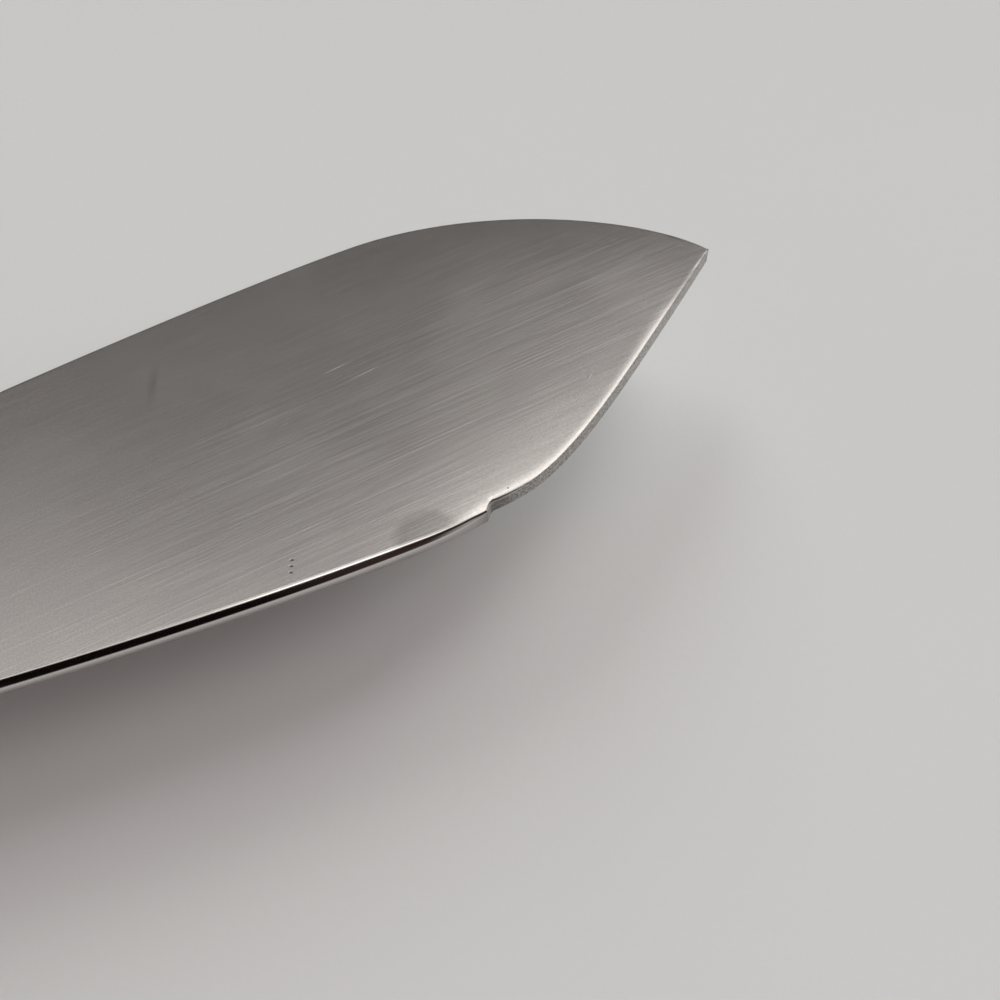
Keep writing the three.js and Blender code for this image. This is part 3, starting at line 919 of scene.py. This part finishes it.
def blade_steel():
    """Brushed stainless steel: lines nearly along the blade, a polished spine, a ground clip, marks of use,
    a dark streak on the face, and painted shade on the spine's eased rim at the notch."""
    material, tree, shader, coordinates = new_material("brushed_blade_steel", metallic=1.0)
    lengthways(tree, shader, BLADE_ANISOTROPY)
    turn = (0.0, 0.0, math.radians(-BRUSH_TURN))
    slanting = add_node(tree, "Mapping", {"Vector": coordinates, "Rotation": turn})
    brushed = use_group(tree, brush, vector=slanting.outputs["Vector"], **BLADE_BRUSH_CELLS)
    place = add_node(tree, "SeparateXYZ", {"Vector": coordinates}).outputs
    slant = maths(tree, "MULTIPLY_ADD", place["X"], SMOOTHED_SLANT, place["Y"])
    fresh = mapped(tree, slant, SMOOTHED_START * MM, SMOOTHED_FULL * MM, FRESH_MOST, SMOOTHED_LEFT)
    rear = mapped(tree, place["X"], REAR_START * MM, REAR_FULL * MM, 0.0, REAR_FRESH)
    fresh = maths(tree, "MAXIMUM", fresh, rear)
    grain = maths(tree, "SUBTRACT", brushed["Grain"], NOISE_MIDDLE)
    grain = maths(tree, "MULTIPLY_ADD", grain, fresh, NOISE_MIDDLE)
    lines = maths(tree, "MULTIPLY", brushed["Lines"], fresh)
    clouds = use_group(tree, handling, vector=coordinates, scale=BLADE_CLOUD_CELLS)["Clouds"]
    patches = use_group(tree, handling, vector=coordinates, scale=BLADE_PATCH_CELLS)["Clouds"]
    rim = mark(tree, "rim")
    clip = mark(tree, "ground")
    # Painted shade on the spine's eased rim at the notch, read from the blade's mark
    grime = mark(tree, "grime")
    flat = maths(tree, "SUBTRACT", 1.0, rim)
    ground = maths(tree, "MULTIPLY", rim, clip)
    worn = use_group(tree, wear, vector=coordinates, rim=rim, scale=BLADE_WEAR_CELLS)["Wear"]
    stain = marked(tree, coordinates, STAIN)
    dark_streak = marked(tree, coordinates, DARK_STREAK)
    pits = marked(tree, coordinates, *PITS, SPECK)
    scratches = marked(tree, coordinates, *SCRATCHES)
    pitting = mapped(tree, noise(tree, coordinates, PITTING_CELLS), *PITTING_RANGE)

    colour = tinted(
        tree, blended(tree, grain, *BLADE_COLOURS), (lines, LINE_TINT), (clouds, BLADE_CLOUD_TINT),
        (patches, BLADE_PATCH_TINT), (pitting, PITTING_TINT), (worn, BLADE_WEAR_TINT),
    )
    colour = blended(tree, ground, colour, blended(tree, pitting, *CLIP_COLOURS))
    # The notch's painted shade darkens the colour here, along with the stain, the dark streak and the pits
    colour = tinted(
        tree, colour, (grime, NOTCH_SHADE_TINT), (stain, STAIN_TINT), (dark_streak, DARK_STREAK_TINT), (pits, PIT_TINT)
    )

    rough = raised(tree, spread(tree, grain, *FACE_ROUGH), (clouds, BLADE_CLOUD_ROUGH))
    rim_rough = mapped(tree, clip, 0.0, 1.0, *RIM_ROUGH, kind="LINEAR")
    rough = raised(tree, maths(tree, "MULTIPLY", rough, flat), (rim_rough, rim))

    relief = maths(tree, "MULTIPLY", maths(tree, "ADD", grain, lines), flat)
    pitted = maths(tree, "MULTIPLY", pitting, ground)
    relief = raised(
        tree, relief, (pitted, PITTING_RELIEF), (pits, PIT_RELIEF), (scratches, SCRATCH_RELIEF)
    )
    finish_shader(tree, shader, colour, rough, relief, BLADE_RELIEF)
    return material


# Steel of the bolsters and their pins
BOLSTER_ANISOTROPY = 0.3
BOLSTER_BRUSH_CELLS = {"fine": (300.0, 9000.0, 9000.0), "long": (120.0, 5000.0, 5000.0)}
BOLSTER_CLOUD_CELLS = 220.0
BOLSTER_WEAR_CELLS = 1200.0
BOLSTER_COLOURS = ((0.57, 0.55, 0.53, 1), (0.68, 0.665, 0.645, 1))
BOLSTER_WORN = (0.72, 0.705, 0.69, 1)
BOLSTER_CLOUD_TINT = (0.3, (0.52, 0.5, 0.48, 1))
BOLSTER_ROUGH = (0.15, 0.21)
BOLSTER_CLOUD_ROUGH = 0.06
BOLSTER_RELIEF = 0.0012


def bolster_steel():
    """Polished steel with faint lines along the handle, clouds of handling and brighter worn rims."""
    material, tree, shader, coordinates = new_material("polished_bolster_steel", metallic=1.0)
    lengthways(tree, shader, BOLSTER_ANISOTROPY)
    brushed = use_group(tree, brush, vector=coordinates, **BOLSTER_BRUSH_CELLS)
    clouds = use_group(tree, handling, vector=coordinates, scale=BOLSTER_CLOUD_CELLS)["Clouds"]
    rim = mark(tree, "rim")
    worn = use_group(tree, wear, vector=coordinates, rim=rim, scale=BOLSTER_WEAR_CELLS)["Wear"]
    colour = blended(tree, brushed["Grain"], *BOLSTER_COLOURS)
    colour = tinted(tree, colour, (clouds, BOLSTER_CLOUD_TINT))
    colour = blended(tree, worn, colour, BOLSTER_WORN)
    rough = mapped(tree, brushed["Lines"], 0.0, 1.0, *BOLSTER_ROUGH, kind="LINEAR")
    rough = raised(tree, rough, (clouds, BOLSTER_CLOUD_ROUGH))
    finish_shader(tree, shader, colour, rough, brushed["Grain"], BOLSTER_RELIEF)
    return material


# Wood of the scales
BAND_CELLS = (14.0, 330.0, 330.0)
FIBRE_CELLS = (90.0, 3600.0, 3600.0)
PORE_CELLS = (330.0, 5200.0, 5200.0)
PORE_RANGE = (0.40, 0.31)
WOOD_CLOUD_CELLS = 60.0
WOOD_WEAR_CELLS = 700.0
WOOD_COLOURS = ((0.085, 0.034, 0.02, 1), (0.25, 0.118, 0.066, 1))
FIBRE_COLOUR = (0.15, 0.062, 0.034, 1)
FIBRE_SHARE = 0.45
WOOD_CLOUD_TINT = (0.25, (0.19, 0.08, 0.04, 1))
WOOD_WEAR_TINT = (0.35, (0.34, 0.18, 0.105, 1))
PORE_TINT = (0.8, (0.035, 0.015, 0.01, 1))
WOOD_ROUGH = (0.36, 0.48)
WOOD_CLOUD_ROUGH = 0.06
PORE_ROUGH = 0.2
FIBRE_RELIEF = 0.25
WOOD_RELIEF = 0.02


def handle_wood():
    """Oiled dark hardwood: bands and fibres along the handle, short open pores, and paler worn edges."""
    material, tree, shader, coordinates = new_material("oiled_handle_wood")
    bands = drawn_noise(tree, coordinates, BAND_CELLS, detail=4.0, distortion=0.7)
    fibres = drawn_noise(tree, coordinates, FIBRE_CELLS, detail=3.0)
    pores = mapped(tree, drawn_noise(tree, coordinates, PORE_CELLS, detail=1.0), *PORE_RANGE)
    clouds = use_group(tree, handling, vector=coordinates, scale=WOOD_CLOUD_CELLS)["Clouds"]
    rim = mark(tree, "rim")
    worn = use_group(tree, wear, vector=coordinates, rim=rim, scale=WOOD_WEAR_CELLS)["Wear"]
    colour = blended(tree, spread(tree, bands), *WOOD_COLOURS)
    colour = blended(tree, spread(tree, fibres, 0.0, FIBRE_SHARE), colour, FIBRE_COLOUR)
    colour = tinted(tree, colour, (clouds, WOOD_CLOUD_TINT), (worn, WOOD_WEAR_TINT), (pores, PORE_TINT))
    rough = spread(tree, fibres, *WOOD_ROUGH)
    rough = raised(tree, rough, (clouds, WOOD_CLOUD_ROUGH), (pores, PORE_ROUGH))
    relief = maths(tree, "SUBTRACT", maths(tree, "MULTIPLY", fibres, FIBRE_RELIEF), pores)
    finish_shader(tree, shader, colour, rough, relief, WOOD_RELIEF)
    return material


# Brass of the rivets
TURNED_CELLS = (60.0, 9000.0, 1.0)
BRASS_CLOUD_CELLS = 500.0
BRASS_COLOURS = ((0.50, 0.345, 0.145, 1), (0.68, 0.49, 0.235, 1))
BRASS_CLOUD_TINT = (0.35, (0.40, 0.27, 0.125, 1))
BRASS_ROUGH = (0.24, 0.33)
BRASS_CLOUD_ROUGH = 0.08
BRASS_RELIEF = 0.003


def rivet_brass():
    """Turned brass: rings round the axis, read from the length along the turned profile, and dull
    clouds."""
    material, tree, shader, coordinates = new_material("turned_rivet_brass", metallic=1.0)
    profile = add_node(tree, "UVMap", uv_map="surface").outputs["UV"]
    rings = drawn_noise(tree, profile, TURNED_CELLS, detail=3.0)
    clouds = use_group(tree, handling, vector=coordinates, scale=BRASS_CLOUD_CELLS)["Clouds"]
    colour = tinted(tree, blended(tree, rings, *BRASS_COLOURS), (clouds, BRASS_CLOUD_TINT))
    rough = raised(tree, spread(tree, rings, *BRASS_ROUGH), (clouds, BRASS_CLOUD_ROUGH))
    finish_shader(tree, shader, colour, rough, rings, BRASS_RELIEF)
    return material


# Table top
TABLE_GRAIN_CELLS = 2500.0
TABLE_CLOUD_CELLS = 30.0
TABLE_COLOURS = ((0.575, 0.566, 0.56, 1), (0.595, 0.587, 0.582, 1))
TABLE_CLOUDED = (0.575, 0.568, 0.562, 1)
TABLE_CLOUD_SHARE = 0.5
TABLE_ROUGH = 0.6
TABLE_GLOSS = 0.2
TABLE_RELIEF = 0.004


def pale_table():
    """Smooth pale table top with the faintest unevenness."""
    material, tree, shader, coordinates = new_material("pale_table")
    grain = noise(tree, coordinates, TABLE_GRAIN_CELLS)
    clouds = noise(tree, coordinates, TABLE_CLOUD_CELLS)
    colour = blended(tree, grain, *TABLE_COLOURS)
    colour = blended(tree, spread(tree, clouds, 0.0, TABLE_CLOUD_SHARE), colour, TABLE_CLOUDED)
    shader.inputs["Specular IOR Level"].default_value = TABLE_GLOSS
    finish_shader(tree, shader, colour, TABLE_ROUGH, grain, TABLE_RELIEF)
    return material


# Stage: camera, floor, light

CAMERA_PLACE = (43.61, -49.96, 81.05)
CAMERA_ELEVATION = 60.0
CAMERA_AZIMUTH = -25.14
CAMERA_LENS = 52.0
CAMERA_SENSOR = 36.0
CAMERA_NEAREST = 1.0
CAMERA_FARTHEST = 50000.0
FLOOR_HALF = 3000.0
FLOOR_DROP = 0.01
DOME_LEVEL = 0.2
FILL_COLOUR = (1.2, 0.9, 0.92, 1)
LAMP_COLOUR = (0.96, 1.02, 1.005)
BACKDROP_COLOUR = (0.58, 0.571, 0.566, 1)

# Lamps: degrees to the right of the far side, elevation, breadth, and share of the light on the floor
LAMPS = {
    "lamp_left": (-11.5, 16.5, 24.0, 0.23),
    "lamp_far": (29.0, 18.0, 30.0, 0.34),
    "lamp_right": (66.0, 16.5, 36.0, 0.23),
}

# Surroundings in reflections. The soft box's light falls off to the far side by a power of e.
BOX_COLOUR = (1.0, 0.99, 0.945, 1)
WALL_COLOUR = (1.01, 0.98, 0.975, 1)
NEAR_COLOUR = (1.4, 0.87, 0.8, 1)
BOX_LOG_LEVEL = 6.76
BOX_FALL_TO_FAR = -17.2
BOX_RISE_TO_RIGHT = 11.3
BOX_LEFT_END = -0.109
BOX_LEFT_GAIN = 17.0
BOX_GAIN_END = 0.54
NEAR_WALL_LEVEL = 0.45

# Where one part of the surroundings passes into the next: how far a direction points to a side, from -1 to
# 1, and in some the levels of light at both ends. In the last two, the colour changes between two levels.
BOX_NEAR_END = (-0.46, -0.3)
BOX_SIDES = (0.5, 0.3)
BOX_MIDDLE = -0.03
BOX_LEVELS = (0.15, 0.27, 0.9, 1.95)
BOX_HANDLE_END = (-0.065, -0.015, 0.5, 1.0)
BOX_NEAR_SIDE = (-0.16, -0.28, 1.0, 1.45)
NEAR_TO_TIP = (-0.06, 0.08, 0.003, 0.03)
NEAR_WALL_TOP = (0.62, 0.42)
NEAR_MIDDLE = -0.08
NEAR_SIDES = (0.2, 0.45)
FAR_MIDDLE = 0.1
FAR_SIDES = (0.4, 0.65, 0.115, 0.7)
NEAR_TO_FAR = (-0.3, 0.2)
HORIZON = (0.16, 0.04, 0.0, 0.4)
NEAR_TO_WALL_COLOUR = (0.035, 0.08)
WALL_TO_BOX_COLOUR = (0.25, 0.6)


def add_camera():
    """Camera where the photograph was taken, looking down at the front of the blade."""
    data = bpy.data.cameras.new("camera")
    data.lens = CAMERA_LENS
    data.sensor_width = CAMERA_SENSOR
    data.clip_start = CAMERA_NEAREST * MM
    data.clip_end = CAMERA_FARTHEST * MM
    camera = new_object("camera", data)
    camera.location = [length * MM for length in CAMERA_PLACE]
    camera.rotation_euler = (math.radians(90 - CAMERA_ELEVATION), 0.0, math.radians(CAMERA_AZIMUTH))
    bpy.context.scene.camera = camera


def add_floor():
    """Flat square floor under the handle: a grid of two by two places."""
    side = np.array([-FLOOR_HALF, FLOOR_HALF]) * MM
    x, y = np.meshgrid(side, side, indexing="ij")
    places = np.column_stack([x.ravel(), y.ravel(), np.full(4, -FLOOR_DROP * MM)])
    mesh = bpy.data.meshes.new("floor")
    mesh.from_pydata(places, [], [(0, 2, 3, 1)])
    mesh.materials.append(pale_table())
    floor = new_object("floor", mesh)


def add_lamps():
    """Broad soft lamps behind the blade. Metal shows the studio's surroundings instead of them."""
    for name, (turn, elevation, breadth, level) in LAMPS.items():
        data = bpy.data.lights.new(name, "SUN")
        data.energy = level * math.pi / math.sin(math.radians(elevation))
        data.angle = math.radians(breadth)
        data.color = LAMP_COLOUR
        lamp = new_object(name, data)
        lamp.rotation_euler = (math.radians(elevation - 90), 0.0, math.radians(CAMERA_AZIMUTH - turn))
        lamp.visible_glossy = False


def add_studio():
    """An even dome of light, in which metal shows surroundings that change with direction. A soft box
    overhead fades towards the far side, is dimmer in its middle and at the handle's end, and brighter on
    its near side. Below it are pale side walls and a pale horizon, a dim far side, and a dark near side
    that is lighter towards the tip. The camera itself sees a plain pale backdrop."""
    world = bpy.data.worlds.new("studio")
    bpy.context.scene.world = world
    world.use_nodes = True
    tree = world.node_tree
    tree.nodes.clear()
    azimuth = math.radians(CAMERA_AZIMUTH)
    direction = add_node(tree, "TexCoord").outputs["Generated"]

    def towards(*axis):
        """How far a direction points along an axis, from -1 to 1."""
        return vector_maths(tree, "DOT_PRODUCT", direction, axis)["Value"]

    def away(value, middle):
        """How far a value lies from a middle."""
        return maths(tree, "ABSOLUTE", maths(tree, "SUBTRACT", value, middle))

    far = towards(-math.sin(azimuth), math.cos(azimuth), 0.0)
    right = towards(math.cos(azimuth), math.sin(azimuth), 0.0)
    along = towards(1.0, 0.0, 0.0)
    up = towards(0.0, 0.0, 1.0)
    held = maths(tree, "MAXIMUM", right, BOX_LEFT_END)
    rise = maths(tree, "MULTIPLY_ADD", held, BOX_RISE_TO_RIGHT, BOX_LOG_LEVEL)
    past_left_end = maths(tree, "SUBTRACT", held, right)
    before_gain_end = maths(tree, "MAXIMUM", maths(tree, "SUBTRACT", BOX_GAIN_END, far), 0.0)
    gain = maths(tree, "MULTIPLY", past_left_end, before_gain_end)
    rise = raised(tree, rise, (gain, BOX_LEFT_GAIN))
    fade = maths(tree, "EXPONENT", maths(tree, "MULTIPLY_ADD", far, BOX_FALL_TO_FAR, rise))
    length = mapped(tree, far, *BOX_NEAR_END)
    width = mapped(tree, maths(tree, "ABSOLUTE", right), *BOX_SIDES)
    middle = mapped(tree, away(far, BOX_MIDDLE), *BOX_LEVELS)
    end_share = mapped(tree, along, *BOX_HANDLE_END)
    near_share = mapped(tree, far, *BOX_NEAR_SIDE)
    middle = maths(tree, "MULTIPLY", maths(tree, "MULTIPLY", middle, end_share), near_share)
    box = maths(tree, "MULTIPLY", length, width)
    box = maths(tree, "MULTIPLY", maths(tree, "MINIMUM", fade, middle), box)

    near = mapped(tree, along, *NEAR_TO_TIP)
    low_walls = mapped(tree, up, *NEAR_WALL_TOP, near, NEAR_WALL_LEVEL)
    near_walls = mapped(tree, away(along, NEAR_MIDDLE), *NEAR_SIDES, near, low_walls)
    far_walls = mapped(tree, away(along, FAR_MIDDLE), *FAR_SIDES)
    walls = mapped(tree, far, *NEAR_TO_FAR, near_walls, far_walls)
    horizon = mapped(tree, up, *HORIZON)
    level = maths(tree, "MAXIMUM", maths(tree, "ADD", box, walls), horizon)

    ray = add_node(tree, "LightPath").outputs
    shown_colour = blended(tree, mapped(tree, level, *NEAR_TO_WALL_COLOUR), NEAR_COLOUR, WALL_COLOUR)
    shown_colour = blended(tree, mapped(tree, level, *WALL_TO_BOX_COLOUR), shown_colour, BOX_COLOUR)
    colour = blended(tree, ray["Is Glossy Ray"], FILL_COLOUR, shown_colour)
    level = mapped(tree, ray["Is Glossy Ray"], 0.0, 1.0, DOME_LEVEL, level, kind="LINEAR")
    surroundings = add_node(tree, "Background", {"Color": colour, "Strength": level})
    backdrop = add_node(tree, "Background", {"Color": BACKDROP_COLOUR, "Strength": 1.0})
    mix = add_node(
        tree, "MixShader",
        {0: ray["Is Camera Ray"], 1: surroundings.outputs[0], 2: backdrop.outputs[0]},
    )
    output = add_node(tree, "OutputWorld")
    tree.links.new(mix.outputs[0], output.inputs["Surface"])


add_camera()
add_floor()
add_lamps()
add_studio()

PIN_NODES = ("bolster_pin_front", "bolster_pin_rear")
RIVET_PLACES = ("front", "middle", "rear")
pin_stations = [node_x(node) for node in PIN_NODES]
rivet_stations = [node_x(f"rivet_{place}_male") for place in RIVET_PLACES]

steel = blade_steel()
polished = bolster_steel()
wood = handle_wood()
brass = rivet_brass()

blade = blade_surface()
drill(blade, [straight_drill(x, TUBE_RADIUS) for x in rivet_stations]
      + [straight_drill(x, PIN_RADIUS) for x in pin_stations])
finish_piece(blade, "blade", steel)

for side_name, side in (("left", 1), ("right", -1)):
    bolster = bolster_surface(f"polished_bolster_{side_name}", side)
    drill(bolster, [straight_drill(x, PIN_RADIUS) for x in pin_stations])
    finish_piece(bolster, f"bolster_{side_name}", polished)
    scale = scale_surface(f"wooden_scale_{side_name}", side)
    drill(scale, [stepped_drill(x) for x in rivet_stations])
    finish_piece(scale, f"handle_scale_{side_name}", wood)

for node, x in zip(PIN_NODES, pin_stations):
    finish_piece(bolster_pin(f"steel_{node}", x), node, polished)

for place, x in zip(RIVET_PLACES, rivet_stations):
    for half, turned_half in (("male", rivet_male), ("female", rivet_female)):
        node = f"rivet_{place}_{half}"
        finish_piece(turned_half(f"brass_{node}", x), node, brass)

bpy.context.scene.view_settings.view_transform = "Standard"

bpy.context.view_layer.update()
